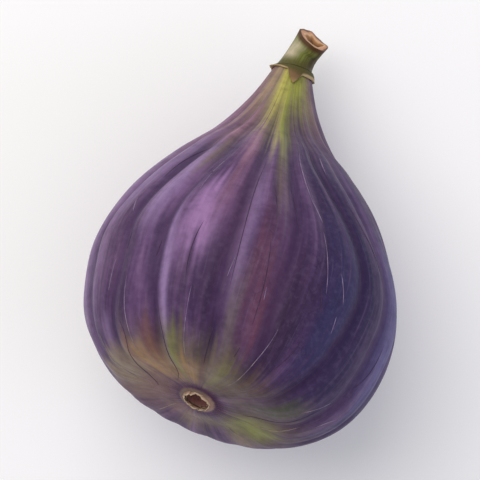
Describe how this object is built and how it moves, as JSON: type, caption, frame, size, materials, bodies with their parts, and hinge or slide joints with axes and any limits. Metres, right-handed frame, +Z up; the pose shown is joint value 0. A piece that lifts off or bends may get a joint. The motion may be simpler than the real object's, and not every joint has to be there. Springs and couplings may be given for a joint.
{
  "type": "fresh fig",
  "caption": "Fresh purple fig with ribbed skin, a short cut stem, brown bracts at its foot and an open eye, lying on its side on a small flat.",
  "frame": {"origin": "centre of the small flat on the belly that the fig rests on", "axes": "+Z up, +Y from the eye end to the stem as seen from above, +X to the right of that"},
  "size_m": [0.0458, 0.065, 0.0472],
  "materials": {
    "fig_skin": "satin skin with a waxy bloom",
    "fig_stem": "matte green bark, raw at the cut",
    "fig_bracts": "matte dry edges",
    "eye_scales": "matte"
  },
  "bodies": {
    "root": {"fig_body": "fig_skin", "stem": "fig_stem", "bract_collar": "fig_bracts", "eye_scales": "eye_scales"}
  },
  "joints": []
}
